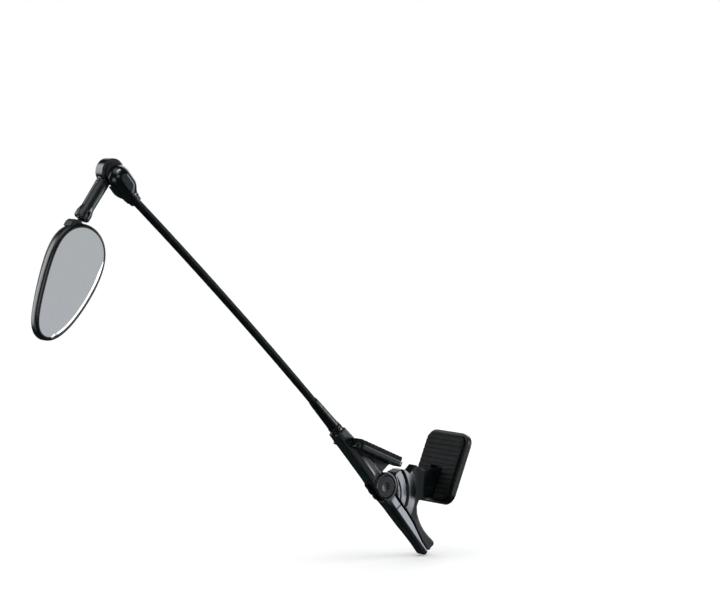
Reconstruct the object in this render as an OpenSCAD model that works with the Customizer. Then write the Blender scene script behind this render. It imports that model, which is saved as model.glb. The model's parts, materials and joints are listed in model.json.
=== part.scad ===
// Helmet mirror: teardrop mirror on a ball joint, folding elbow, thin bowed
// arm and a sprung two-lever clip for a helmet rim. Millimetres, +Z up; the
// glass faces -Y (near side) and the arm climbs from the clip towards -X.
// Origin: the middle of the outer pad's clamp face, where the clip sits on the rim.

/* [Mirror head] */
// Length of the glass along its long axis
glass_len = 42.6; // [40:0.2:43]
// Nominal width of the glass before the egg swell
glass_w = 21.2; // [20:0.2:22]
// Width of the bezel outside the glass
bezel_w = 1.3; // [1.3:0.1:1.7]
// Thickness of the glass
glass_t = 1.8; // [1.4:0.1:2]

/* [Arm] */
// Straight-line length of the arm between the clip and the elbow
arm_len = 135.5; // [110:0.5:160]
// Outer diameter of the sleeved arm
arm_d = 3.1; // [2.9:0.05:3.1]
// How far the arm turns along its length, in degrees
arm_bow = 3.8; // [2:0.1:5]

/* [Clip] */
// Width of the outer jaw across the rim
outer_jaw_w = 17; // [14:0.5:20]
// Width of the inner jaw across the rim
inner_jaw_w = 24; // [20:0.5:28]
// Height of the inner jaw
inner_jaw_h = 30; // [24:0.5:34]
// Wire diameter of the torsion spring
wire_d = 0.5; // [0.44:0.02:0.52]

/* [Hidden] */
$fn = 64;

// ================= shared shapes =================
// flat shape drawn in (x, z), given thickness w across Y
module slab(w) rotate([90, 0, 0]) linear_extrude(height = w, center = true) children();
module disc(r, y0, y1) translate([0, y1, 0]) rotate([90, 0, 0]) cylinder(r = r, h = y1 - y0);
// rounded rectangle from x0 to x1, centred across y
module rounded(x0, x1, w, r) difference() {
  translate([x0, -w/2]) square([x1 - x0, w]);
  // [x, y, turn] of each corner
  for (c = [[x0, -w/2, 0], [x1, -w/2, 90], [x1, w/2, 180], [x0, w/2, 270]])
    translate([c[0], c[1]]) rotate(c[2]) difference() {
      translate([-1, -1]) square(r + 1);
      translate([r, r]) circle(r = r, $fn = 32);
    }
}
function arc(r, start, end, steps, centre = [0, 0]) = [for (i = [0:steps])
  let (a = start + (end - start)*i/steps) centre + r*[cos(a), sin(a)]];
function unit(v) = v/norm(v);

// ================= frames =================
// The working frame has its zero on the clip's hinge axis.
// Clip frame: x (u) runs down the spine to the tail, z (v) towards the rim.
tilt = 48.85;
module clip_frame() rotate([0, tilt, 0]) children();
// point of the clip frame from a point (x, z) of the working frame
function to_clip(x, z) = [x*cos(tilt) - z*sin(tilt), x*sin(tilt) + z*cos(tilt)];

// Outer clamp face: ledge end and far end, (x, z) in the working frame
face_ledge = [6.3, 11.4];
face_far = [-17.5, 21.9];
face_mid = (face_ledge + face_far)/2;
face_a = to_clip(face_ledge[0], face_ledge[1]);
face_b = to_clip(face_far[0], face_far[1]);
face_dir = unit(face_b - face_a);
face_out = [face_dir[1], -face_dir[0]];    // towards the rim
face_len = norm(face_b - face_a);
// x along the clamp face from the ledge end, z out of it
module outer_jaw_frame() clip_frame() translate([face_a[0], 0, face_a[1]])
  rotate([0, -atan2(face_dir[1], face_dir[0]), 0]) mirror([0, 0, 1]) children();
// moves a finished piece to the part's origin on the outer pad
module placed() translate([-face_mid[0], 0, -face_mid[1]]) children();

// Inner jaw: z up it, -x towards the rim
jaw_lean = 23.8;
jaw_foot = [26.4, -9.0];                   // its lower edge, (x, z)
module inner_jaw_frame() translate([jaw_foot[0], 0, jaw_foot[1]])
  rotate([0, jaw_lean, 0]) children();
function jaw_to_clip(x, z) = to_clip(jaw_foot[0] + x*cos(jaw_lean) + z*sin(jaw_lean),
                                     jaw_foot[1] - x*sin(jaw_lean) + z*cos(jaw_lean));

// Arm: mouth of the socket, then a shallow arc up to the elbow; slopes in degrees
mouth = [-23.9, 25.6];
chord_slope = 43.93;
mouth_slope = chord_slope + arm_bow/2;
top_slope = chord_slope - arm_bow/2;
bow_r = arm_len/(2*sin(arm_bow/2));
arm_top = mouth + arm_len*[-cos(chord_slope), sin(chord_slope)];
// z along the arm, away from the clip
module arm_frame(at, slope) translate([at[0], 0, at[1]]) rotate([0, -(90 - slope), 0]) children();
module mouth_frame() arm_frame(mouth, mouth_slope) children();
module top_frame() arm_frame(arm_top, top_slope) children();

// Elbow and link: z of the link and ball frames points away from the elbow
elbow_along = 12;                          // along the arm's axis from its end
elbow_up = 1.8;                            // up from the arm's axis
elbow = arm_top + elbow_along*[-cos(top_slope), sin(top_slope)]
  + elbow_up*[sin(top_slope), cos(top_slope)];
link_y = 2.9;                              // plane of the link and the ball
link_len = 19.91;
link_lean = 37.1;                          // leans are from straight down
stud_lean = 39.2;
ball = elbow + link_len*[-sin(link_lean), -cos(link_lean)];
module hang_frame(at, lean) translate([at[0], link_y, at[1]])
  rotate([0, -(180 - lean), 0]) children();
module elbow_frame() translate([elbow[0], 0, elbow[1]]) children();
module link_frame() hang_frame(elbow, link_lean) children();
module ball_frame() hang_frame(ball, stud_lean) children();

// Mirror head: x across, z along the long axis, y = 0 on the glass's front face
head_lean = 30;
head = ball + [-7.85, -23.57];             // centre of the glass, (x, z)
head_y = 0.4;
module head_frame() translate([head[0], head_y, head[1]]) rotate([0, head_lean, 0]) children();

// ================= clip, outer side =================
lever_w = 6;              // both levers
spine_v = -3.8;           // outer face of the spine
slot_half = 1.65;         // half width of the slot between the ears
pin_r = 1.0;
ear_r = 5.9;
cover_r = 4.38;
pad_t = 1.8;
clamp_t = 2.0;            // clamp plate behind the pad
core_r = 1.0;             // arm's core
set_screw_z = -7;         // below the socket's mouth

// side view of the spine, [u, v]
module spine_outline() polygon(concat(
  [[-33.5, spine_v], [33.5, spine_v]],
  arc(1.6, -90, 0, 6, [36.4, spine_v + 1.6]),
  [[37.9, -1.4], [37.4, -0.95], [32.5, -0.75], [22.9, 0.95], [16.5, 1.4], [5.6, 1.42],
   [0, 3.4], [-5.4, 2.2], [-12.6, 2.6], [-27, 1.9], [-33.5, 1.2]]));

module outer_lever() color("#17191a") difference() {
  union() {
    clip_frame() slab(lever_w) spine_outline();
    // round ears with a raised ring on each side, cut just outside the spine's face
    clip_frame() intersection() {
      union() {
        disc(ear_r, -lever_w/2, lever_w/2);
        difference() {
          disc(5.75, -lever_w/2 - 0.5, lever_w/2 + 0.5);
          disc(4.55, -lever_w, lever_w);
        }
      }
      translate([-10, -10, spine_v - 0.35]) cube([20, 20, 20]);
    }
    // web behind the clamp plate
    clip_frame() slab(4.4) polygon([[-27, 1.5], [-5.2, 1.8], [-4.9, 6.0],
      face_a - (pad_t + 0.6)*face_out + 1.2*face_dir,
      face_b - (pad_t + 0.6)*face_out - 0.8*face_dir]);
    // clamp plate
    outer_jaw_frame() translate([0, 0, -pad_t - clamp_t]) linear_extrude(height = clamp_t)
      rounded(0, face_len, outer_jaw_w, 2.5);
    // socket for the arm
    mouth_frame() translate([0, 0, -13]) cylinder(r = 2.7, h = 13);
  }
  clip_frame() {
    // slot between the ears
    disc(6.35, -slot_half, slot_half);
    translate([-1, -slot_half, -2.65]) cube([7.6, 2*slot_half, 12]);
    translate([-6.35, -slot_half, 0]) cube([6.35, 2*slot_half, 9]);
    // pin bore and the covers' seats
    disc(pin_r + 0.02, -lever_w, lever_w);
    for (side = [-1, 1]) translate([0, side*(lever_w/2 - 0.3), 0]) rotate([90, 0, 0])
      cylinder(r = cover_r + 0.07, h = 0.62, center = true);
    // channel for the spring's lower leg
    translate([0, -1.05, -2.1]) cube([15, 0.85, 8]);
  }
  // arm bore, counterbore for the sleeve, set screw
  mouth_frame() {
    translate([0, 0, -11]) cylinder(r = core_r + 0.03, h = 12);
    translate([0, 0, -3.1]) cylinder(r = arm_d/2 + 0.04, h = 4);
    translate([0, 0, set_screw_z]) rotate([0, 90, 0]) cylinder(r = 1.22, h = 6);
  }
}
module hinge_pin() color("#8d9193") clip_frame() disc(pin_r, -2.3, 2.3);
// dished disc let into the ear on one side
module pin_cover(side) color("#0d0f0f") clip_frame()
  translate([0, side*(lever_w/2 - 0.01), 0]) rotate([side*-90, 0, 0]) difference() {
    translate([0, 0, -0.27]) cylinder(r = cover_r, h = 0.55);
    translate([0, 0, 10.4]) sphere(r = 10.3, $fn = 96);
  }
module pin_cover_near() pin_cover(-1);
module pin_cover_far() pin_cover(1);
// rubber pad, notched round the arm's socket and its set screw
module outer_pad() color("#202122") outer_jaw_frame() translate([0, 0, -pad_t + 0.02])
  linear_extrude(height = pad_t - 0.02) difference() {
    rounded(0.5, face_len - 0.5, outer_jaw_w - 1, 2.2);
    translate([face_len - 7.6, -3.1]) square([9, 6.2]);
  }

// torsion spring: a leg along each lever and about two and a half turns round the pin
coil_r = 1.6;
coil_y = 0.67;                             // the coil runs from -coil_y to coil_y
leg_slope = 8.2;                           // of the upper leg
coil_turn = 360*2 + 180 - leg_slope;       // from the lower leg round to the upper one
coil_steps = 60;
function coil() = [for (i = [0:coil_steps]) let (a = -90 - coil_turn*i/coil_steps)
  [coil_r*cos(a), -coil_y + 2*coil_y*i/coil_steps, coil_r*sin(a)]];
function spring_path() = let (turns = coil()) concat(
  [for (i = [0:5]) [13.6 - 2.6*i, -coil_y, -coil_r]],
  turns,
  [for (i = [1:6]) turns[coil_steps] + 2.1*i*[cos(leg_slope), 0, sin(leg_slope)]]);
// round tube of the given number of sides along a path
module tube(path, r, sides) {
  n = len(path);
  points = [for (i = [0:n-1]) let (
      along = unit(path[min(i + 1, n - 1)] - path[max(i - 1, 0)]),
      side = unit(cross(along, [0, 1, 0])),
      up = cross(side, along))
    for (j = [0:sides-1]) path[i] + r*(cos(360*j/sides)*side + sin(360*j/sides)*up)];
  walls = [for (i = [0:n-2]) for (j = [0:sides-1]) let (k = (j + 1)%sides)
    [i*sides + j, (i + 1)*sides + j, (i + 1)*sides + k, i*sides + k]];
  ends = [[for (j = [0:sides-1]) j], [for (j = [sides-1:-1:0]) (n - 1)*sides + j]];
  polyhedron(points = points, faces = concat(walls, ends), convexity = 6);
}
module clip_spring() color("#b4b7b8") clip_frame() tube(spring_path(), wire_d/2, 10);

// ================= clip, inner side =================
jaw_t = 2.2;
jaw_corner_r = 4.5;
jaw_rim_w = 1.2;
jaw_screw_z = [4.6, 11.2];

// the inner jaw's outline drawn in by inset, from x0 to x1
module jaw_plate(x0, x1, inset = 0, r = jaw_corner_r) translate([x1, 0, inset])
  rotate([0, -90, 0]) linear_extrude(height = x1 - x0)
    rounded(0, inner_jaw_h - 2*inset, inner_jaw_w - 2*inset, r);
// places children at each jaw screw, z away from the rim
module at_jaw_screws(x) for (z = jaw_screw_z)
  inner_jaw_frame() translate([x, 0, z]) rotate([0, 90, 0]) children();

// side view of the lever, [u, v]
module lever_outline() polygon(concat(
  [[38.3, 2.6], [38.1, 3.3], [37.4, 3.75], [36.4, 3.75], [33, 3.35], [30, 3.25],
   [27, 3.45], [24.5, 3.95], [21.5, 5.0], [19.2, 6.9], [18.2, 9.3]],
  [jaw_to_clip(-0.05, 2.2), jaw_to_clip(-0.05, 14.5)],
  [to_clip(21, 4.4), to_clip(17.4, 7.0), [6.0, 13.1], [3.0, 12.3], [1.1, 10.5], [0.15, 7.9]],
  arc(6.32, 88, 17, 16),
  [[6.9, 1.8], [16.6, 1.78], [23, 1.33], [32.6, -0.37], [36.6, -0.62]],
  arc(1.0, -60, 40, 4, [37.3, 0.35])));
// part of a thin ring, curved across the lever's side face
module groove_outline() intersection() {
  translate([1.2, -4.0]) difference() {
    circle(r = 15.0, $fn = 128);
    circle(r = 14.45, $fn = 128);
  }
  polygon([[2.2, 6], [2.2, 12], [18, 12], [17.2, 2.0]]);
}
module inner_lever() color("#17191a") difference() {
  knuckle_w = 2*slot_half - 0.14;
  clip_frame() {
    slab(lever_w) lever_outline();
    // knuckle between the ears, joined to the lever by a web
    disc(2.5, -knuckle_w/2, knuckle_w/2);
    slab(knuckle_w) polygon(concat([[0, 0], [2.4, 0.4]], arc(6.6, 19, 90, 10), [[0, 2.4]]));
  }
  clip_frame() {
    disc(pin_r + 0.05, -lever_w, lever_w);
    // room for the coil and the spring's upper leg
    disc(2.55, -0.98, 0.98);
    translate([0.6, 0.3, 1.0]) rotate([0, -leg_slope, 0])
      translate([-1.0, 0, -3.5]) cube([14.6, 0.7, 4.55]);
    // curved groove in both side faces
    for (side = [-1, 1]) translate([0, side*lever_w/2, 0]) slab(0.7) groove_outline();
  }
  at_jaw_screws(-6) cylinder(r = 0.82, h = 8);
}
module inner_jaw() color("#121414") difference() {
  inner_jaw_frame() {
    jaw_plate(0, jaw_t);
    // raised rim round the edge, towards the helmet
    difference() {
      jaw_plate(-0.7, 0.3);
      jaw_plate(-2, 1, jaw_rim_w, jaw_corner_r - jaw_rim_w);
    }
  }
  // gap in the rim for the lever's foot
  inner_jaw_frame() translate([-3, -lever_w/2 - 0.05, -1]) cube([3, lever_w + 0.1, 16]);
  // screw bores and their countersunk seats
  at_jaw_screws(-1) {
    cylinder(r = 0.86, h = 5);
    translate([0, 0, 2.3]) cylinder(r = 1.75, h = 3);
  }
}
// shanks and slotted heads
module jaw_screws() color("#7c8082") at_jaw_screws(0) difference() {
  union() {
    translate([0, 0, -5.2]) cylinder(r = 0.8, h = 6.6);
    translate([0, 0, 1.33]) cylinder(r = 1.68, h = 0.85);
  }
  translate([-0.25, -2, 1.75]) cube([0.5, 4, 1]);
}
// rubber pad, split round the lever's foot
module inner_pad() color("#26272a") inner_jaw_frame() difference() {
  jaw_plate(-1.9, -0.02, 1.25, 3.2);
  translate([-8, -lever_w/2 - 0.25, -1]) cube([9, lever_w + 0.5, 15.8]);
}

// ================= arm =================
snap_z = 4;               // middle of the snap clip, past the arm's end
snap_w = 0.68;

// round rod along the arm's arc
module bow_rod(r) {
  centre = mouth + bow_r*[-sin(mouth_slope), -cos(mouth_slope)];
  translate([centre[0], 0, centre[1]]) rotate([90, 0, 0]) rotate([0, 0, 90 - mouth_slope])
    rotate_extrude(angle = arm_bow, $fn = 1600) translate([bow_r, 0]) circle(r = r, $fn = 40);
}
module arm_core() color("#9a9da0") difference() {
  union() {
    bow_rod(core_r);
    // the straight ends are turned down a hair
    mouth_frame() translate([0, 0, -10.6]) cylinder(r = core_r - 0.02, h = 11.6);
    top_frame() translate([0, 0, -1]) cylinder(r = core_r - 0.02, h = 6.6);
  }
  // groove for the snap clip
  top_frame() translate([0, 0, snap_z - snap_w/2 - 0.04]) difference() {
    cylinder(r = 1.5, h = snap_w + 0.08);
    translate([0, 0, -1]) cylinder(r = 0.7, h = 3);
  }
}
module arm_sleeve() color("#1b1c1c") difference() {
  union() {
    bow_rod(arm_d/2);
    mouth_frame() translate([0, 0, -3]) cylinder(r = arm_d/2 - 0.03, h = 4);
  }
  bow_rod(core_r + 0.02);
  mouth_frame() translate([0, 0, -4]) cylinder(r = core_r + 0.05, h = 5);
}
// tapered boot with a flange against the socket
module arm_boot() color("#141616") mouth_frame() difference() {
  translate([0, 0, 0.05]) {
    cylinder(r1 = 2.5, r2 = 1.85, h = 16.5);
    cylinder(r = 2.62, h = 1.1);
  }
  translate([0, 0, -1]) cylinder(r = arm_d/2 + 0.12, h = 20);
}
module arm_set_screw() color("#55585a") mouth_frame()
  translate([0, 0, set_screw_z]) rotate([0, 90, 0]) difference() {
    translate([0, 0, 1.02]) cylinder(r = 1.2, h = 1.5);
    translate([0, 0, 1.9]) cylinder(r = 0.65, h = 2, $fn = 6);
  }
module arm_collar() color("#141616") top_frame() difference() {
  union() {
    translate([0, 0, -2.6]) cylinder(r = 2.35, h = 2.9);
    translate([0, 0, -0.9]) cylinder(r = 2.75, h = 1.3);
  }
  translate([0, 0, -4]) cylinder(r = arm_d/2 + 0.04, h = 4.05);
  translate([0, 0, -1]) cylinder(r = core_r + 0.04, h = 3);
}
// open ring in the groove of the core
module core_clip() color("#a3a6a8") top_frame() translate([0, 0, snap_z - snap_w/2]) difference() {
  cylinder(r = 1.95, h = snap_w);
  translate([0, 0, -1]) cylinder(r = 0.72, h = 3);
  translate([-0.5, -4, -1]) cube([1, 4, 3]);
}

// ================= elbow and link =================
cap_r = 4.9;
cap_gap = 0.3;            // from the arm's plane to each face of the joint
screw_seat_y = 3.9;       // floor of the screw head's recess
ball_r = 1.9;
liner_r = 2.45;

module knuckle_body() color("#151718") difference() {
  top_frame() intersection() {
    // bell leaning towards the elbow, then a rounded lug
    rotate([0, atan2(elbow_up, elbow_along), 0]) {
      rotate_extrude($fn = 72) polygon(concat([[0, -0.8], [2.95, -0.8]],
        [for (i = [0:8]) [3.05 + 1.65*sin(11.25*i), 1.3 + 0.52*i]], [[4.7, 9.8], [0, 9.8]]));
      translate([0, 0, 9.4]) sphere(r = 4.68, $fn = 72);
    }
    translate([-10, -4.45, 0.5]) cube([20, 10, 30]);
  }
  // room for the cap and washer
  elbow_frame() disc(5.5, -cap_gap, 12);
  top_frame() {
    translate([-8, -cap_gap, elbow_along - 1.5]) cube([16, 10, 12]);
    // bore for the core, and the pocket of its snap clip, open to the far side
    translate([0, 0, -1]) cylinder(r = core_r + 0.05, h = 6.9);
    translate([0, 0, snap_z - snap_w/2 - 0.08]) {
      cylinder(r = 2.1, h = snap_w + 0.16);
      translate([-2.1, 0, 0]) cube([4.2, 8, snap_w + 0.16]);
    }
  }
  // screw bore
  elbow_frame() disc(1.12, -3.6, 3);
}
module elbow_washer() color("#26282a") elbow_frame() difference() {
  disc(3.5, -0.24, 0.24);
  disc(1.2, -1, 1);
}
module elbow_screw() color("#85898b") elbow_frame() difference() {
  union() {
    disc(1.1, -3.4, 4.2);
    disc(2.0, screw_seat_y + 0.05, 5.1);
  }
  translate([0, 5, 0]) rotate([0, 25, 0]) cube([5, 1, 0.6], center = true);
}
// domed cap with a stub for the link
module swivel_cap() color("#151718") difference() {
  union() {
    elbow_frame() disc(cap_r, cap_gap, 4.0);
    elbow_frame() intersection() {
      disc(cap_r, 3.9, 5.7);
      translate([0, -6.2, 0]) sphere(r = 12, $fn = 128);
    }
    link_frame() translate([0, 0, 3.0]) cylinder(r = 2.55, h = 2.5);
  }
  elbow_frame() disc(1.16, -1, 7);
  elbow_frame() disc(2.1, screw_seat_y, 8);
  link_frame() translate([0, 0, 2.3]) cylinder(r = 1.53, h = 4);
}
module link_arm() color("#1a1d1d") link_frame() difference() {
  union() {
    // pivot, flange and shaft
    translate([0, 0, 2.4]) cylinder(r = 1.5, h = 4);
    translate([0, 0, 5.55]) cylinder(r = 2.6, h = 0.8);
    translate([0, 0, 6.3]) cylinder(r1 = 2.55, r2 = 2.45, h = link_len - 9.85);
    // flare and cup round the ball
    translate([0, 0, link_len - 3.65]) cylinder(r1 = 2.45, r2 = 3.0, h = 2.2);
    translate([0, 0, link_len - 1.5]) cylinder(r = 3.0, h = 2.1);
    translate([0, 0, link_len + 0.55]) cylinder(r1 = 3.0, r2 = 2.65, h = 0.45);
  }
  translate([0, 0, link_len]) sphere(r = liner_r + 0.05);
  translate([0, 0, link_len]) cylinder(r = 2.3, h = 4);
  // slot that lets the two lips spring over the ball
  translate([-0.6, -5, link_len - 2.2]) cube([1.2, 10, 6]);
}
module ball_liner() color("#3a3c3c") hang_frame(ball, link_lean) difference() {
  sphere(r = liner_r);
  sphere(r = ball_r + 0.04);
  translate([-4, -4, 0.95]) cube(8);
  translate([-4, -4, -8 - 1.7]) cube(8);
}

// ================= mirror head =================
stud_screw_z = 6.6;       // in the ball frame

// point of the egg outline at angle t: wider above, reshaped along its -x edge
function egg_point(t) = [
  glass_w/2*cos(t)*(1 + 0.22*sin(t) + 0.15*sin(t)*sin(t))
    *(1 - max(0, -cos(t))*(0.09 - 0.155*sin(t))),
  glass_len/2*sin(t)];
function egg_tangent(t) = unit(egg_point(t + 0.5) - egg_point(t - 0.5));
// the outline moved outwards by grow, as n points
function egg(grow, n) = [for (i = [0:n-1])
  let (t = 360*(i + 0.5)/n, d = egg_tangent(t)) egg_point(t) + grow*[d[1], -d[0]]];
// slab of the outline; shrink scales its length, keeping the bezel's top in place
module egg_slab(grow, y0, y1, n = 96, shrink = 1)
  translate([0, y1, (1 - shrink)*(glass_len/2 + bezel_w)]) rotate([90, 0, 0])
    linear_extrude(height = y1 - y0) polygon([for (p = egg(grow, n)) [p[0], p[1]*shrink]]);

// square foot let into the top of the housing, then a post behind the glass
module ball_stud() color("#1a1c1c") ball_frame() difference() {
  union() {
    sphere(r = ball_r);
    cylinder(r = 0.95, h = 3.3);
    translate([-1.2, -1.6, 2.4]) cube([4.3, 4.6, 1.35]);
    translate([1.5, -1.6, 3.0]) cube([1.6, 4.6, 3.2]);
    translate([-1.3, 0.25, 3.0]) cube([2.6, 2.6, 5.6]);
  }
  translate([0, 5, stud_screw_z]) rotate([90, 0, 0]) cylinder(r = 0.6, h = 10);
}
// room for the stud's foot and post in the housing
module stud_pocket() ball_frame() {
  translate([-1.4, 0.1, 2]) cube([2.8, 2.8, 6.8]);
  translate([-1.3, -1.7, 2]) cube([4.5, 4.8, 1.83]);
  translate([1.4, -1.7, 2]) cube([1.8, 4.8, 4.28]);
}
module stud_screw() color("#7c8082") ball_frame() translate([0, 0, stud_screw_z]) difference() {
  union() {
    disc(0.57, 0.35, 3.2);
    disc(1.2, 2.95, 3.6);
  }
  translate([0, 3.6, 0]) cube([0.35, 0.7, 3], center = true);
}
module rear_shell() color("#171a1a") difference() {
  // the back is drawn in from its lower end
  head_frame() hull() {
    egg_slab(bezel_w, 3.25, 3.3, 72);
    egg_slab(bezel_w, 4.55, 4.6, 72, 0.945);
    egg_slab(bezel_w - 0.9, 5.7, 5.75, 72, 0.945);
    egg_slab(bezel_w - 3.2, 6.35, 6.4, 72, 0.945);
  }
  head_frame() egg_slab(bezel_w - 1.4, 3.0, 4.75, 96, 0.935);
  stud_pocket();
  // recess and bore for the stud's screw
  ball_frame() translate([0, 0, stud_screw_z]) {
    disc(1.26, 2.9, 6);
    disc(0.62, 0, 6);
  }
}
// ring round the glass with a thin lip over its front edge
module bezel() color("#101212") difference() {
  head_frame() egg_slab(bezel_w, -0.6, 3.2);
  head_frame() egg_slab(0.06, -0.02, 5);
  head_frame() egg_slab(-0.55, -2, 1);
  stud_pocket();
}
module glass_backing() color("#3c3f42") head_frame() egg_slab(-1.6, glass_t + 0.02, glass_t + 0.7);
module mirror_glass() color("#c3cad2") head_frame() egg_slab(0, 0, glass_t);

placed() outer_lever();
placed() hinge_pin();
placed() pin_cover_near();
placed() pin_cover_far();
placed() clip_spring();
placed() outer_pad();
placed() inner_lever();
placed() inner_jaw();
placed() jaw_screws();
placed() inner_pad();
placed() arm_core();
placed() arm_sleeve();
placed() arm_boot();
placed() arm_set_screw();
placed() arm_collar();
placed() core_clip();
placed() knuckle_body();
placed() elbow_washer();
placed() elbow_screw();
placed() swivel_cap();
placed() link_arm();
placed() ball_liner();
placed() ball_stud();
placed() stud_screw();
placed() rear_shell();
placed() bezel();
placed() glass_backing();
placed() mirror_glass();
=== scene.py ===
"""A small mirror on a bowed arm, held by a sprung two-lever clip.

The frame's origin lies on the outer pad and the clip's hinge axis runs along Y. The arm rises
towards -X and +Z. The glass faces -Y. Shapes are worked out in mm from the hinge axis (the working
frame) and stored in metres.
"""
import json
import math
import bpy
import bmesh
import numpy as np
from mathutils import Matrix, Vector


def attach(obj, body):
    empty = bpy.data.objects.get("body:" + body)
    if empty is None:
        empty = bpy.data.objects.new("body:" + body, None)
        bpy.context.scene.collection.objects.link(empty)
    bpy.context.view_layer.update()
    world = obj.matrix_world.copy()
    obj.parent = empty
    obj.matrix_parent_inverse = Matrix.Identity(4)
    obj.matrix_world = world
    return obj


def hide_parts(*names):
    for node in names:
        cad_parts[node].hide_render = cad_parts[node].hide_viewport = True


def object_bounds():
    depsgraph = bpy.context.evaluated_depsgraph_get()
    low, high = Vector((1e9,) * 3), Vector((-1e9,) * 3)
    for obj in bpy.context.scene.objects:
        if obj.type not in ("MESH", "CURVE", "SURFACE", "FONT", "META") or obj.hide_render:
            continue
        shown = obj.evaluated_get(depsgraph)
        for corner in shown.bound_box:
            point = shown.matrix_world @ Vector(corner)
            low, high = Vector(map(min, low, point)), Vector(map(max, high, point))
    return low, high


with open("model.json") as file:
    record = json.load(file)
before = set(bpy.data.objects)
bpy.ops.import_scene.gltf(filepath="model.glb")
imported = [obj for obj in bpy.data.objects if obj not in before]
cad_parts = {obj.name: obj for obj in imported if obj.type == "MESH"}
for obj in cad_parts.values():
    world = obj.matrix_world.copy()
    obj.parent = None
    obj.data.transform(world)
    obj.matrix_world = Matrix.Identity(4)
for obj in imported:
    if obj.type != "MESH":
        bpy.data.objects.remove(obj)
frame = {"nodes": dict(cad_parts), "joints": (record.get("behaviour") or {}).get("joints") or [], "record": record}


def measured_box():
    return [[float(c) for c in corner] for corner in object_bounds()]


CAD_BOX = measured_box()
MM = 0.001
NODES = frame["nodes"]
BODY_OF = {member: body
           for body, members in frame["record"]["behaviour"]["bodies"].items()
           for member in members}
BALL_JOINT = next(j for j in frame["joints"] if j["name"] == "ball_tilt")

# ---------------------------------------------------------------- shared places (mm)
HINGE = np.array([5.6, 0.0, -16.65])      # hinge axis, from the frame's origin
BALL = np.array(BALL_JOINT["pos_m"]) / MM - HINGE
HEAD = np.array([BALL[0] - 7.85, 0.4, BALL[2] - 23.57])
CLIP_TILT = math.radians(48.85)           # turns about Y
HEAD_TILT = math.radians(30)


def rot_y(points, angle, origin=(0, 0, 0)):
    """Turns points about Y, then moves them to origin."""
    points = np.asarray(points, float)
    x, y, z = points[..., 0], points[..., 1], points[..., 2]
    c, s = math.cos(angle), math.sin(angle)
    return np.stack([x * c + z * s, y, -x * s + z * c], -1) + np.array(origin)


def to_clip(points):
    """Working frame to clip frame: down the spine, y, towards the rim."""
    return rot_y(points, -CLIP_TILT)


def from_clip(points):
    return rot_y(points, CLIP_TILT)


def step(values, start, end):
    """Smooth rise from 0 at start to 1 at end."""
    t = np.clip((values - start) / (end - start), 0, 1)
    return t * t * (3 - 2 * t)


def bell(values, centre, width):
    return np.exp(-((values - centre) / width) ** 2)


# ---------------------------------------------------------------- mesh helpers
def weld(mesh, distance, scale=1):
    """Scales a mesh, merges its doubled points and turns its faces outwards."""
    bm = bmesh.new()
    bm.from_mesh(mesh)
    bmesh.ops.scale(bm, verts=bm.verts, vec=(scale,) * 3)
    bmesh.ops.remove_doubles(bm, verts=bm.verts, dist=distance)
    bmesh.ops.recalc_face_normals(bm, faces=bm.faces)
    bm.to_mesh(mesh)
    bm.free()


def shade_smooth(mesh):
    mesh.polygons.foreach_set("use_smooth", [True] * len(mesh.polygons))


def link_object(name, data):
    ob = bpy.data.objects.new(name, data)
    bpy.context.scene.collection.objects.link(ob)
    return ob


def stand_in(node, mesh):
    """Puts a mesh in place of a CAD node."""
    ob = link_object("form_" + node, mesh)
    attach(ob, BODY_OF[node])
    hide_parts(node)


def built(node, verts, faces, material):
    """Replaces a CAD node with a mesh given in the working frame."""
    mesh = bpy.data.meshes.new("form_" + node)
    mesh.from_pydata([tuple(v) for v in (verts + HINGE) * MM], [], faces)
    mesh.validate()
    weld(mesh, 2e-7)
    shade_smooth(mesh)
    stand_in(node, mesh)
    mesh.materials.append(material)


def moulded(node, voxel, rounds, material, shape=None):
    """Replaces a CAD node with its own form, remeshed evenly, corners eased, then shaped."""
    source = NODES[node].data.copy()
    weld(source, 0.002, scale=1 / MM)
    ob = link_object(node + "_form", source)
    even = ob.modifiers.new("even", "REMESH")
    even.mode = "VOXEL"
    even.voxel_size = voxel
    ease = ob.modifiers.new("ease", "SMOOTH")
    ease.factor = 0.5
    ease.iterations = rounds
    depsgraph = bpy.context.evaluated_depsgraph_get()
    mesh = bpy.data.meshes.new_from_object(ob.evaluated_get(depsgraph))
    bpy.data.objects.remove(ob)

    points = np.zeros(len(mesh.vertices) * 3)
    mesh.vertices.foreach_get("co", points)
    points = points.reshape(-1, 3)
    if shape:
        points = shape(points - HINGE) + HINGE
    mesh.vertices.foreach_set("co", (points * MM).ravel())
    shade_smooth(mesh)
    mesh.update()
    mesh.name = node
    stand_in(node, mesh)
    mesh.materials.clear()
    mesh.materials.append(material)


def skin(rings, closed=False, capped=False):
    """Joins rings of equal count. closed: last ring meets the first. capped: fan on the last."""
    count, sides = len(rings), len(rings[0])
    verts = np.concatenate(rings)
    faces = []
    for i in range(count if closed else count - 1):
        this, after = i * sides, (i + 1) % count * sides
        for j in range(sides):
            k = (j + 1) % sides
            faces.append((this + j, after + j, after + k, this + k))
    if capped:
        last, centre = (count - 1) * sides, len(verts)
        verts = np.concatenate([verts, rings[-1].mean(0)[None]])
        faces += [(last + j, centre, last + (j + 1) % sides) for j in range(sides)]
    return verts, faces


def circle(centre, radius, first_axis, second_axis, sides):
    angles = 2 * math.pi * np.arange(sides)[:, None] / sides
    return centre + radius * (np.cos(angles) * first_axis + np.sin(angles) * second_axis)


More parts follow.
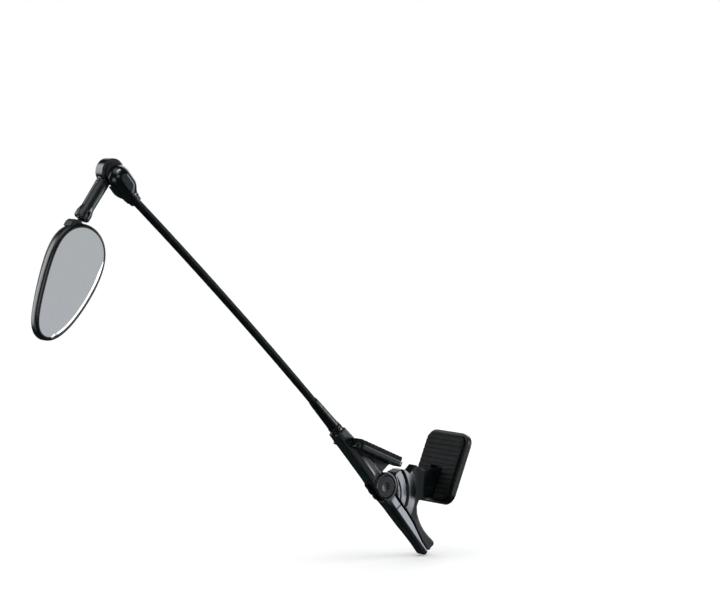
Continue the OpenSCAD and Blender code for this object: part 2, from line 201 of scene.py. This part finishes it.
def tube(path, radius, sides):
    """Capped tube along a path that never runs along Y. radius: a number or one per point."""
    path = np.asarray(path, float)
    radii = np.broadcast_to(radius, (len(path),))
    tangents = np.gradient(path, axis=0)
    tangents /= np.linalg.norm(tangents, axis=1)[:, None]
    rings = []
    for centre, r, tangent in zip(path, radii, tangents):
        side = np.cross(tangent, [0, 1.0, 0])
        side /= np.linalg.norm(side)
        rings.append(circle(centre, r, side, np.cross(side, tangent), sides))
    verts, faces = skin(rings)
    faces.append(tuple(range(sides)))
    faces.append(tuple(range(len(verts) - sides, len(verts)))[::-1])
    return verts, faces


def lathe(profile, origin, axis, sides):
    """Turns a closed profile of (radius, height) about a unit axis square to Y."""
    side = np.cross(axis, [0, 1.0, 0])
    other = np.cross(axis, side)
    rings = [circle(origin + axis * height, r, side, other, sides) for r, height in profile]
    return skin(rings, closed=True)


def fillet(corners, segments):
    """Rounds the corners of an open outline given as (x, y, radius); radius 0 stays sharp."""
    points = [np.array(corner[:2], float) for corner in corners]
    rounded = []
    for i, (point, corner) in enumerate(zip(points, corners)):
        if corner[2] == 0:
            rounded.append(point)
            continue
        back, ahead = points[i - 1] - point, points[i + 1] - point
        back_len, ahead_len = np.linalg.norm(back), np.linalg.norm(ahead)
        reach = min(corner[2], 0.49 * back_len, 0.49 * ahead_len)
        start, end = point + back / back_len * reach, point + ahead / ahead_len * reach
        for k in range(segments + 1):
            t = k / segments
            rounded.append((1 - t) ** 2 * start + 2 * t * (1 - t) * point + t * t * end)
    return rounded


# ---------------------------------------------------------------- shader helpers
def set_inputs(tree, node, values):
    """Links each value that is a socket and stores the others."""
    for key, value in values.items():
        if isinstance(value, bpy.types.NodeSocket):
            tree.links.new(value, node.inputs[key])
        else:
            node.inputs[key].default_value = value


def add_node(tree, kind, inputs, **settings):
    node = tree.nodes.new("ShaderNode" + kind)
    for key, value in settings.items():
        setattr(node, key, value)
    set_inputs(tree, node, inputs)
    return node


def new_surface(name):
    material = bpy.data.materials.new(name)
    material.use_nodes = True
    tree = material.node_tree
    tree.nodes.clear()
    output = add_node(tree, "OutputMaterial", {})
    surface = add_node(tree, "BsdfPrincipled", {})
    tree.links.new(surface.outputs[0], output.inputs[0])
    return material, tree, surface


def scaled(tree, coords, scale):
    return add_node(tree, "Mapping", {0: coords, "Scale": scale}).outputs[0]


def object_coords(tree):
    """Object coordinates in mm."""
    return scaled(tree, add_node(tree, "TexCoord", {}).outputs["Object"], (1 / MM,) * 3)


def noise(tree, coords, scale, detail=3, rough=0.5, distortion=0.0):
    return add_node(tree, "TexNoise", {
        "Scale": scale, "Detail": detail, "Roughness": rough, "Distortion": distortion,
        "Vector": coords}).outputs["Fac"]


def ramp(tree, value, span, to=(0.0, 1.0)):
    return add_node(tree, "MapRange", {
        "From Min": span[0], "From Max": span[1], "To Min": to[0], "To Max": to[1],
        "Value": value}).outputs["Result"]


def mix_color(tree, factor, first, second):
    colors = [(*c, 1) if isinstance(c, tuple) else c for c in (first, second)]
    inputs = {0: factor, 6: colors[0], 7: colors[1]}
    return add_node(tree, "Mix", inputs, data_type="RGBA").outputs[2]


def maths(tree, operation, first, second):
    return add_node(tree, "Math", {0: first, 1: second}, operation=operation).outputs[0]


def bump(tree, height, strength, depth_mm):
    return add_node(tree, "Bump", {
        "Strength": strength, "Distance": depth_mm * MM, "Height": height}).outputs[0]


# ---------------------------------------------------------------- materials
def plastic(name, dark, light, rough, grain=0.02, grain_scale=9.0, wear=0.5,
            wear_color=(0.10, 0.11, 0.11), level=0.5):
    """Moulded plastic: uneven colour, fine grain (mm deep), swirled scuffs and paler edges."""
    material, tree, surface = new_surface(name)
    coords = object_coords(tree)
    cloud = noise(tree, coords, scale=0.22, detail=4)
    fine = noise(tree, coords, scale=grain_scale, detail=2)
    scuff = noise(tree, coords, scale=1.3, detail=6, rough=0.65, distortion=1.2)
    color = mix_color(tree, ramp(tree, cloud, span=(0.35, 0.65)), dark, light)
    geometry = add_node(tree, "NewGeometry", {})
    edge = ramp(tree, geometry.outputs["Pointiness"], span=(0.53, 0.60))
    edge = maths(tree, "MULTIPLY", edge, ramp(tree, scuff, span=(0.4, 0.7), to=(0.2, 1.0)))
    edge = maths(tree, "MULTIPLY", edge, wear)
    color = mix_color(tree, edge, color, wear_color)
    # scuffs vary the gloss, and rubbed edges are rougher still
    gloss = ramp(tree, scuff, span=(0.3, 0.75), to=(rough * 0.85, rough * 1.3))
    gloss = maths(tree, "ADD", gloss, maths(tree, "MULTIPLY", edge, 0.18))
    # height: half the grain plus all of the slow unevenness
    height = maths(tree, "ADD", maths(tree, "MULTIPLY", fine, 0.5),
                   maths(tree, "MULTIPLY", cloud, 1.0))
    set_inputs(tree, surface, {
        "Base Color": color, "Roughness": gloss, "Specular IOR Level": level,
        "Coat Roughness": 0.12, "Normal": bump(tree, height, strength=0.5, depth_mm=grain)})
    return material


def metal(name, color, rough, stretch=(1, 1, 1), depth_mm=0.01):
    """Turned or drawn metal: fine lines, patchy gloss and patchy darkening."""
    material, tree, surface = new_surface(name)
    coords = object_coords(tree)
    lines = noise(tree, scaled(tree, coords, stretch), scale=3.0, detail=4, rough=0.6)
    cloud = noise(tree, coords, scale=0.7)
    dark = tuple(c * 0.62 for c in color)
    set_inputs(tree, surface, {
        "Base Color": mix_color(tree, ramp(tree, cloud, span=(0.3, 0.7)), dark, color),
        "Metallic": 1.0,
        "Roughness": ramp(tree, lines, span=(0.3, 0.7), to=(rough * 0.7, rough * 1.35)),
        "Normal": bump(tree, lines, strength=0.4, depth_mm=depth_mm)})
    return material


def rubber(name, dark, light, rough=0.72):
    """Rubber: dull, pebbled, with dusty patches."""
    material, tree, surface = new_surface(name)
    coords = object_coords(tree)
    dust = noise(tree, coords, scale=0.35, detail=5, rough=0.6)
    pebbles = add_node(tree, "TexVoronoi", {"Scale": 3.2, "Vector": coords}).outputs["Distance"]
    set_inputs(tree, surface, {
        "Base Color": mix_color(tree, ramp(tree, dust, span=(0.4, 0.7)), dark, light),
        "Roughness": ramp(tree, dust, span=(0.3, 0.7), to=(rough - 0.08, rough + 0.12)),
        "Specular IOR Level": 0.18,
        "Normal": bump(tree, pebbles, strength=0.5, depth_mm=0.05)})
    return material


def mirror_silver():
    """Silvered glass: a slow painted reflection gradient along Z, faint smears and dust."""
    material, tree, surface = new_surface("mirror_silver")
    coords = object_coords(tree)
    smear = noise(tree, coords, scale=0.16, detail=4, rough=0.6, distortion=0.8)
    dust = noise(tree, coords, scale=5.0)
    height = add_node(tree, "SeparateXYZ", {0: coords}).outputs["Z"]
    # painted reflection: the base colour drifts slowly along Z, bluer low down and greyer high up
    color = mix_color(tree, ramp(tree, height, span=(45.0, 95.0)),
                      (0.86, 0.87, 0.90), (0.84, 0.87, 0.88))
    smeared = ramp(tree, smear, span=(0.55, 0.8), to=(0.0, 0.25))
    set_inputs(tree, surface, {
        "Base Color": mix_color(tree, smeared, color, (0.66, 0.70, 0.73)),
        "Metallic": 1.0,
        "Roughness": ramp(tree, smear, span=(0.35, 0.75), to=(0.025, 0.08)),
        "Coat Weight": 0.6,
        "Coat Roughness": 0.02,
        "Normal": bump(tree, dust, strength=0.05, depth_mm=0.002)})
    return material


MAT = {
    "lever": plastic(
        "black_gloss_moulding", dark=(0.0006, 0.0022, 0.0024), light=(0.0022, 0.0042, 0.0046),
        rough=0.20, grain=0.010, wear=0.25, wear_color=(0.02, 0.025, 0.027), level=0.42),
    "cover": plastic(
        "black_satin_moulding", dark=(0.0006, 0.0018, 0.0018), light=(0.0016, 0.0032, 0.0032),
        rough=0.26, grain=0.012, wear=0.2, wear_color=(0.02, 0.024, 0.025), level=0.25),
    "jaw": plastic(
        "black_matt_moulding", dark=(0.0005, 0.0010, 0.0012), light=(0.0014, 0.0022, 0.0026),
        rough=0.34, grain=0.03, grain_scale=5.0, wear=0.3, wear_color=(0.015, 0.019, 0.021),
        level=0.15),
    "knuckle": plastic(
        "black_knuckle_moulding", dark=(0.0005, 0.0019, 0.0021), light=(0.0018, 0.0036, 0.0038),
        rough=0.17, grain=0.008, wear=0.2, wear_color=(0.02, 0.025, 0.027)),
    "shell": plastic(
        "black_shell_moulding", dark=(0.0008, 0.0022, 0.0024), light=(0.0024, 0.0044, 0.0048),
        rough=0.30, grain=0.022, grain_scale=6.5, wear=0.25, wear_color=(0.025, 0.030, 0.032)),
    "bezel": plastic(
        "black_bezel_moulding", dark=(0.0006, 0.0019, 0.0020), light=(0.0022, 0.0040, 0.0042),
        rough=0.22, grain=0.010, wear=0.3, wear_color=(0.025, 0.030, 0.032)),
    "sleeve": plastic(
        "black_arm_sleeve", dark=(0.0016, 0.0044, 0.0048), light=(0.0044, 0.0084, 0.0088),
        rough=0.30, grain=0.022, grain_scale=7.0, wear=0.15, wear_color=(0.03, 0.036, 0.038)),
    "arm": plastic(
        "black_arm_tube", dark=(0.0006, 0.0020, 0.0022), light=(0.0022, 0.0042, 0.0044),
        rough=0.50, grain=0.022, grain_scale=7.0, wear=0.15, wear_color=(0.015, 0.019, 0.020),
        level=0.10),
    "liner": plastic(
        "grey_acetal", dark=(0.02, 0.02, 0.021), light=(0.035, 0.036, 0.037), rough=0.4),
    "pad": rubber(
        "pad_rubber", dark=(0.0018, 0.0020, 0.0022), light=(0.0060, 0.0064, 0.0068)),
    "foam": rubber(
        "foam_tape", dark=(0.02, 0.02, 0.022), light=(0.04, 0.04, 0.043), rough=0.85),
    "fibre": rubber(
        "fibre_washer", dark=(0.010, 0.010, 0.010), light=(0.022, 0.021, 0.020), rough=0.8),
    "steel": metal("plated_steel", color=(0.58, 0.59, 0.60), rough=0.28, stretch=(1, 8, 1)),
    "spring": metal("spring_wire", color=(0.46, 0.47, 0.48), rough=0.32, depth_mm=0.006),
    "blackened": metal("blackened_steel", color=(0.08, 0.08, 0.085), rough=0.4),
    "mirror": mirror_silver(),
}


# ---------------------------------------------------------------- moulded pieces
# Each shaping function moves points of the working frame. In the levers, `slim` scales y.
def shape_outer_lever(points):
    down, y, rim = to_clip(points).T
    flank = step(np.hypot(down, rim), 5.9, 7.0) * (rim < 2.6) * (np.abs(y) < 3.3)
    tail = step(down, 4, 10)
    spine = step(-down, 5, 9)
    # the flank is fullest at rim = -1.7 and falls away to either side
    inward = np.clip((rim + 1.7) / 3.6, 0, 1.1)
    outward = np.clip((-1.7 - rim) / 2.1, 0, 1)
    slim = 1 - flank * (tail * (0.20 * inward + 0.20 * outward ** 1.3)
                        + spine * (0.10 * outward ** 2 + 0.05 * inward))
    # a faint raised line down the spine's flank, and a sunk cross seam below the hub
    line = step(-down, 7, 9) * (1 - step(-down, 22, 25)) * bell(rim, -0.9, 0.42)
    slim += 0.045 * flank * spine * line
    slim -= 0.05 * flank * bell(down - 0.25 * (rim + 1), 11.3, 0.30)
    # the tail narrows to its tip
    slim *= 1 - 0.30 * step(down, 9, 36)
    y = y * slim
    # thumb hollow on the outer face of the tail
    hollow = step(down, 20, 25) * (1 - step(down, 31, 36)) * (1 - step(rim, -3.8, -2.6))
    rim = rim + 0.35 * hollow * np.clip(1 - (y / 2.6) ** 2, 0, 1)
    return from_clip(np.stack([down, y, rim], -1))


def shape_inner_lever(points):
    down, y, rim = to_clip(points).T
    # the arm that holds the jaw
    foot = step(points[:, 0], 17.5, 21.5) * step(points[:, 2], -9, -6)
    side = step(np.abs(y), 1.9, 2.8)
    # two curved bands run down the flank, each highest at its inner radius; they fade down the tail
    band_width, second_band = 3.9, 14.75
    radius = np.hypot(down - 1.2, rim + 4.0)
    first = np.clip((radius - 10.7) / band_width, 0, 1) * (radius < second_band)
    second = np.clip((radius - second_band) / band_width, 0, 1.15) * (radius >= second_band)
    depth = 0.24 * (1 - 0.65 * step(down, 14, 24))
    sunk = depth * (first + second) + 0.06 * bell(radius, 10.3, 0.55)
    slim = 1 - side * step(np.hypot(down, rim), 6.4, 7.2) * sunk * (1 - 0.75 * foot)
    # the jaw arm is waisted and the tail narrows
    slim *= 1 - 0.10 * foot * side
    slim *= 1 - 0.30 * step(down, 12, 36) * (1 - foot)
    return from_clip(np.stack([down, y * slim, rim], -1))


def shape_stud(points):
    """Slopes the foot's face away from the neck a little."""
    lean_cos, lean_sin = 0.77495, 0.63203
    across = np.array([-lean_cos, 0.0, lean_sin])
    axis = np.array([-lean_sin, 0.0, -lean_cos])
    out, height = (points - BALL) @ across, (points - BALL) @ axis
    weight = step(out, 0.2, 3.0) * (1 - step(height, 2.6, 4.4)) * (height > 1.6)
    drop = 0.75 * weight
    draw_in = 0.35 * weight * step(out, 2.0, 3.1)
    return points + axis * drop[:, None] - across * draw_in[:, None]


def ribbed(normal, face_point, lift=0.0):
    """Shaping that sinks gaps between cross ribs into the face lying lift above face_point."""
    pitch, depth = 2.0, 0.45
    along = np.array([normal[2], 0.0, -normal[0]])
    face = face_point @ normal + lift

    def shape(points):
        top = step(points @ normal, face - 0.55, face - 0.10)
        wave = 0.5 + 0.5 * np.cos(2 * math.pi * (points @ along) / pitch)
        return points - normal * (depth * top * step(wave, 0.55, 0.85))[:, None]
    return shape


OUTER_PAD_NORMAL = np.array([0.4036402, 0.0, 0.9149178])
JAW_LEAN = math.radians(23.8)
JAW_NORMAL = np.array([-math.cos(JAW_LEAN), 0.0, math.sin(JAW_LEAN)])
JAW_FACE = np.array([26.4, 0.0, -9.0])
PAD_THICKNESS = 1.9

# node, voxel size (mm), smoothing rounds, material, shaping
MOULDED = [
    ("outer_lever", 0.17, 9, "lever", shape_outer_lever),
    ("inner_lever", 0.15, 8, "lever", shape_inner_lever),
    ("inner_jaw", 0.2, 8, "jaw", None),
    ("knuckle_body", 0.12, 9, "knuckle", None),
    ("swivel_cap", 0.12, 10, "knuckle", None),
    ("link_arm", 0.11, 6, "sleeve", None),
    ("arm_collar", 0.09, 4, "cover", None),
    ("ball_stud", 0.09, 5, "cover", shape_stud),
    ("outer_pad", 0.16, 5, "pad", ribbed(OUTER_PAD_NORMAL, -HINGE)),
    ("inner_pad", 0.16, 5, "pad", ribbed(JAW_NORMAL, JAW_FACE, PAD_THICKNESS)),
    ("pin_cover_near", 0.08, 4, "cover", None),
    ("pin_cover_far", 0.08, 4, "cover", None),
]
for node, voxel, rounds, finish, shape in MOULDED:
    moulded(node, voxel, rounds, MAT[finish], shape)

# CAD pieces kept as they are, with a finish
KEPT = {
    "hinge_pin": "steel", "jaw_screws": "steel", "arm_core": "steel",
    "arm_set_screw": "blackened", "core_clip": "spring", "elbow_washer": "fibre",
    "elbow_screw": "steel", "ball_liner": "liner", "stud_screw": "steel",
    "glass_backing": "foam",
}
for node, finish in KEPT.items():
    NODES[node].data.materials.clear()
    NODES[node].data.materials.append(MAT[finish])

# ---------------------------------------------------------------- arm: sleeve and boot
MOUTH = np.array([-23.9, 0.0, 25.6])      # mouth of the arm's socket
ARM_LENGTH = 135.5
CHORD, BOW = math.radians(43.93), math.radians(3.8)
ARM_RADIUS = ARM_LENGTH / (2 * math.sin(BOW / 2))
START = CHORD + BOW / 2                   # slope of the arm at the mouth
MOUTH_DIR = np.array([-math.cos(START), 0, math.sin(START)])
BOW_CENTRE = MOUTH + ARM_RADIUS * np.array([-math.sin(START), 0, -math.cos(START)])


def on_arm(distance):
    """Point on the arm's centre line: straight inside the socket, bowed beyond its mouth."""
    if distance <= 0:
        return MOUTH + distance * MOUTH_DIR
    angle = math.pi / 2 - START + distance / ARM_RADIUS
    return BOW_CENTRE + ARM_RADIUS * np.array([math.cos(angle), 0, math.sin(angle)])


def build_sleeve():
    stations = np.concatenate([np.linspace(-2.9, 0, 3), np.linspace(1, ARM_LENGTH + 0.2, 150)])
    # a slight unevenness along the length
    radii = 1.545 + 0.010 * np.sin(stations * 0.9) * np.sin(stations * 0.23)
    built("arm_sleeve", *tube([on_arm(s) for s in stations], radii, sides=28), MAT["arm"])


def build_boot():
    # radius, height above the socket mouth
    flange = [(1.68, 0.10), (2.45, 0.10), (2.60, 0.22), (2.60, 1.05), (2.50, 1.18), (2.44, 1.3)]
    tip = [(1.86, 15.6), (1.80, 16.2), (1.70, 16.48), (1.62, 16.5)]
    taper = []
    for k in range(30):
        height = 1.4 + k * (15.0 - 1.4) / 29
        groove = 0.05 if k % 6 == 5 else 0
        taper.append((2.46 - 0.60 * (height / 16.5) ** 0.9 - groove, height))
    built("arm_boot", *lathe(flange + taper + tip, MOUTH, MOUTH_DIR, sides=56), MAT["cover"])


# ---------------------------------------------------------------- torsion spring
def build_spring():
    """Two and a half turns about the hinge, less the second leg's slope, with two legs."""
    coil_radius, half_width, coil_steps = 1.6, 0.67, 150
    slope = math.radians(8.2)
    sweep = math.radians(360 * 2 + 180) - slope
    path = [np.array([13.6 - 0.65 * i, -half_width, -coil_radius]) for i in range(21)]
    for i in range(coil_steps + 1):
        angle = -math.pi / 2 - sweep * i / coil_steps
        path.append(np.array([coil_radius * math.cos(angle),
                              -half_width + 2 * half_width * i / coil_steps,
                              coil_radius * math.sin(angle)]))
    coil_end = path[-1]
    leg = np.array([math.cos(slope), 0, math.sin(slope)])
    path += [coil_end + 0.62 * i * leg for i in range(1, 21)]
    built("clip_spring", *tube(from_clip(path), 0.25, sides=14), MAT["spring"])


build_sleeve()
build_boot()
build_spring()

# ---------------------------------------------------------------- mirror head
# Outlines lie in the head's own x and z; y is the depth behind the front.
PANE_LENGTH, PANE_WIDTH = 42.6, 21.2
RIM = 1.3                                 # bezel's outer wall, out from the pane's edge
SHELL_FRONT = 3.28


def egg_point(angle):
    c, s = np.cos(angle), np.sin(angle)
    flat = 1 - np.maximum(0.0, -c) * (0.09 - 0.155 * s)
    across = PANE_WIDTH / 2 * c * (1 + 0.22 * s + 0.15 * s ** 2) * flat
    return np.stack([across, PANE_LENGTH / 2 * s], -1)


def egg(offset):
    """The pane's egg outline moved outwards by offset, 200 points."""
    angles = 2 * math.pi * (np.arange(200) + 0.5) / 200
    tangent = egg_point(angles + 0.0087) - egg_point(angles - 0.0087)
    tangent /= np.linalg.norm(tangent, axis=1)[:, None]
    return egg_point(angles) + offset * np.stack([tangent[:, 1], -tangent[:, 0]], -1)


def head_ring(outline, y):
    """Outline points at depth y (a number or one per point) in the working frame."""
    ring = np.stack([outline[:, 0], np.full(len(outline), y), outline[:, 1]], -1)
    return rot_y(ring, HEAD_TILT, HEAD)


# 1 along the lower +x edge, where the glass bevel is ground wide, 0 elsewhere
WIDE = step((egg(0.5) - egg(0.0)) * 2 @ np.array([0.943, -0.333]), 0.76, 0.92)


def build_bezel():
    """Rounded nose over the glass and a straight side wall with a fine groove round it."""
    inner = 0.03
    # offset, depth, corner radius
    profile = fillet([
        (inner, 0.5, 0), (inner, 0.02, 0), (-0.15, 0.02, 0), (-0.15, -0.04, 0.02),
        (-0.11, -0.08, 0.02), (0.26, -0.08, 0.1), (RIM - 0.02, 0.95, 0.22),
        (RIM - 0.01, 1.2, 0.02), (RIM - 0.10, 1.30, 0), (RIM - 0.01, 1.40, 0.02),
        (RIM - 0.02, 3.05, 0.1), (RIM - 0.22, 3.2, 0.1), (0.3, 3.2, 0.1), (0.08, 3.1, 0.05),
        (inner, 0.5, 0)], segments=4)
    rings = []
    for offset, y in profile[:-1]:
        outline = egg(offset)
        if offset < inner:
            # the lip over the glass draws back where the bevel is wide
            outline = outline + (egg(inner) - outline) * np.clip(WIDE * 4, 0, 1)[:, None]
        if offset > 1.0 and y > 1.0:
            # a joint line across the side wall, half way down the -x edge
            away = np.linalg.norm(outline - np.array([-10.6, 1.5]), axis=1)
            outward = outline / np.linalg.norm(outline, axis=1)[:, None]
            outline = outline - outward * (0.16 * np.exp(-(away / 0.6) ** 4))[:, None]
        rings.append(head_ring(outline, np.maximum(y, 0.33 * WIDE) if y < 0.5 else y))
    built("bezel", *skin(rings, closed=True), MAT["bezel"])


def build_glass():
    """Flat pane with a bevel round its edge."""
    face = 0.035
    rings = [head_ring(egg(offset), y)
             for offset, y in ((-3.0, 1.78), (-0.06, 1.78), (-0.02, 1.74))]
    bevel = 0.04 + 0.92 * WIDE
    edge = egg(0.0)
    inward = egg(-1.0) - edge
    for k in (0.0, 0.06, 0.94, 1.0):
        outline = edge + inward * (0.04 + k * bevel)[:, None]
        rings.append(head_ring(outline, face + 0.315 * bevel * (1 - k)))
    flat = edge + inward * (0.08 + bevel)[:, None]
    rings += [head_ring(flat * scale, face) for scale in (1, 0.8, 0.55, 0.3, 0.1)]
    built("mirror_glass", *skin(rings, capped=True), MAT["mirror"])


def build_shell():
    """Short skirt, soft shoulder and a crowned back with a raised egg-shaped panel."""
    # inset from the bezel's outer wall, depth
    skirt = [(1.1, SHELL_FRONT), (0.25, SHELL_FRONT), (0.06, 3.40), (0.08, 3.6), (0.15, 4.0),
             (0.27, 4.40), (0.44, 4.80), (0.68, 5.15), (1.02, 5.48), (1.5, 5.75),
             (2.1, 5.95), (3.0, 6.1)]
    # scale of the skirt's last outline, depth
    back = [(0.93, 6.19), (0.85, 6.24), (0.77, 6.275), (0.74, 6.285), (0.725, 6.24),
            (0.705, 6.17), (0.685, 6.17), (0.665, 6.25), (0.65, 6.30), (0.55, 6.33),
            (0.4, 6.355), (0.25, 6.37), (0.1, 6.375)]
    upper_end = PANE_LENGTH / 2 + RIM - 0.1

    def shell_ring(outline, y):
        """Draws the outline in from below as it goes back, so the lower end is shallower."""
        shrink = 1 - 0.057 * np.clip((y - SHELL_FRONT) / 1.27, 0, 1)
        z = outline[:, 1] * shrink + (1 - shrink) * upper_end
        return head_ring(np.stack([outline[:, 0], z], -1), y)

    rings = [shell_ring(egg(RIM - inset), y) for inset, y in skirt]
    last = egg(RIM - skirt[-1][0])
    rings += [shell_ring(last * scale, y) for scale, y in back]
    built("rear_shell", *skin(rings, capped=True), MAT["shell"])


build_bezel()
build_glass()
build_shell()

# ---------------------------------------------------------------- floor
VIEW_TURN = math.radians(41)              # the view looks this far from +Y towards +X


def build_floor():
    """Pale sweep square to the view: flat, then curved up into a wall (metres)."""
    flat_end, bend, half_width = 1.0, 0.9, 3.5
    profile = [(-2.2, 0.0), (flat_end, 0.0)]
    profile += [(flat_end + bend * math.sin(a), bend - bend * math.cos(a))
                for a in np.radians(np.arange(7.5, 91, 7.5))]
    profile.append((flat_end + bend, 3.0))
    ahead = np.array([math.sin(VIEW_TURN), math.cos(VIEW_TURN)])
    across = np.array([ahead[1], -ahead[0]])
    low = CAD_BOX[0][2] - 0.0005
    verts = [(*(ahead * distance + across * side), low + z)
             for distance, z in profile for side in (-half_width, half_width)]
    faces = [(2 * i, 2 * i + 1, 2 * i + 3, 2 * i + 2) for i in range(len(profile) - 1)]
    mesh = bpy.data.meshes.new("floor")
    mesh.from_pydata(verts, [], faces)
    shade_smooth(mesh)
    floor = link_object("studio_floor", mesh)
    material, tree, surface = new_surface("studio_pale")
    set_inputs(tree, surface, {
        "Base Color": (0.90, 0.90, 0.90, 1), "Roughness": 0.9, "Specular IOR Level": 0.15})
    mesh.materials.append(material)
    floor.visible_glossy = False


# ---------------------------------------------------------------- world
WHITE = (1, 1, 1)
AMBIENT = (1.06, 1.065, 1.07)             # what all but glossy rays see
DIM = (0.035, 0.048, 0.050)               # what glossy rays see between the soft lights
# direction, full inside this angle, gone at this angle (degrees), power, color
SOFTBOXES = [
    ((0.65, -0.75, -0.09), 13, 30, 0.45, (0.975, 0.975, 1.0)),
    ((0.88, -0.47, 0.02), 9, 19, 8.5, (0.92, 0.97, 1.06)),
    ((-0.35, -0.25, 0.90), 14, 34, 1.9, WHITE),
    ((0.75, 0.50, 0.45), 12, 32, 2.2, WHITE),
    ((-0.60, 0.75, 0.28), 15, 34, 4.6, (0.97, 0.99, 1.02)),
    ((-0.89, -0.29, -0.32), 8, 20, 2.2, WHITE),
    ((-0.52, -0.82, 0.22), 5, 14, 2.4, WHITE),
    ((0.879, -0.321, -0.352), 12, 20, 1.7, WHITE),
]


def softbox(tree, coords, direction, inner, outer, power, color):
    """A soft round light."""
    toward = tuple(np.array(direction) / np.linalg.norm(direction))
    facing = add_node(tree, "VectorMath", {0: coords, 1: toward}, operation="DOT_PRODUCT")
    fade = add_node(tree, "MapRange", {
        "From Min": math.cos(math.radians(outer)), "From Max": math.cos(math.radians(inner)),
        "Value": facing.outputs["Value"]}, interpolation_type="SMOOTHSTEP")
    return add_node(tree, "VectorMath", {
        0: tuple(c * power for c in color), "Scale": fade.outputs["Result"]},
        operation="SCALE").outputs[0]


def build_world():
    """Even light for the scene, with soft lights seen only in reflections."""
    world = bpy.data.worlds.new("studio")
    world.use_nodes = True
    tree = world.node_tree
    tree.nodes.clear()
    output = add_node(tree, "OutputWorld", {})
    background = add_node(tree, "Background", {"Strength": 1.0})
    tree.links.new(background.outputs[0], output.inputs[0])
    rays = add_node(tree, "LightPath", {})
    coords = add_node(tree, "TexCoord", {}).outputs["Generated"]
    boxes = [softbox(tree, coords, *row) for row in SOFTBOXES]
    total = boxes[0]
    for light in boxes[1:] + [DIM]:
        total = add_node(tree, "VectorMath", {0: total, 1: light}, operation="ADD").outputs[0]
    seen = add_node(tree, "Mix", {0: rays.outputs["Is Glossy Ray"], 4: AMBIENT, 5: total},
                    data_type="VECTOR")
    tree.links.new(seen.outputs[1], background.inputs[0])
    bpy.context.scene.world = world


# ---------------------------------------------------------------- lights and camera
def area_light(name, place, width, height, power):
    """Area light aimed at the mirror's arm, unseen in reflections (metres, watts)."""
    light = bpy.data.lights.new(name, "AREA")
    light.shape = "RECTANGLE"
    light.size = width
    light.size_y = height
    light.energy = power
    ob = link_object(name, light)
    ob.location = place
    aim = Vector((-0.06, 0, 0.06))
    ob.rotation_euler = (aim - Vector(place)).to_track_quat("-Z", "Y").to_euler()
    ob.visible_glossy = False


def build_camera():
    """Looks slightly down, placed by its distances from the hinge (mm)."""
    pitch = math.radians(5)
    distance, hinge_right, hinge_below = 1000.0, 10.4, 74.8
    target = HINGE + np.array([0, -3.3, 0.0])
    ahead = np.array([math.sin(VIEW_TURN) * math.cos(pitch),
                      math.cos(VIEW_TURN) * math.cos(pitch), -math.sin(pitch)])
    right = np.cross(ahead, [0, 0, 1.0])
    right /= np.linalg.norm(right)
    up = np.cross(right, ahead)
    place = (target - distance * ahead - hinge_right * right + hinge_below * up) * MM
    camera = bpy.data.cameras.new("camera")
    camera.lens = 125.0
    camera.sensor_width = 36.0
    camera.sensor_fit = "HORIZONTAL"
    camera.clip_start = 0.05
    camera.clip_end = 50
    ob = link_object("camera", camera)
    ob.matrix_world = Matrix((*np.stack([right, up, -ahead, place], -1).tolist(), (0, 0, 0, 1)))
    bpy.context.scene.camera = ob


build_floor()
build_world()
area_light("key", (0.75, -0.75, 0.95), width=0.7, height=0.8, power=3.5)
area_light("top", (0.0, 0.1, 1.4), width=1.2, height=1.2, power=3)
build_camera()
bpy.context.scene.view_settings.view_transform = "Standard"
bpy.context.scene.view_settings.exposure = 0.0
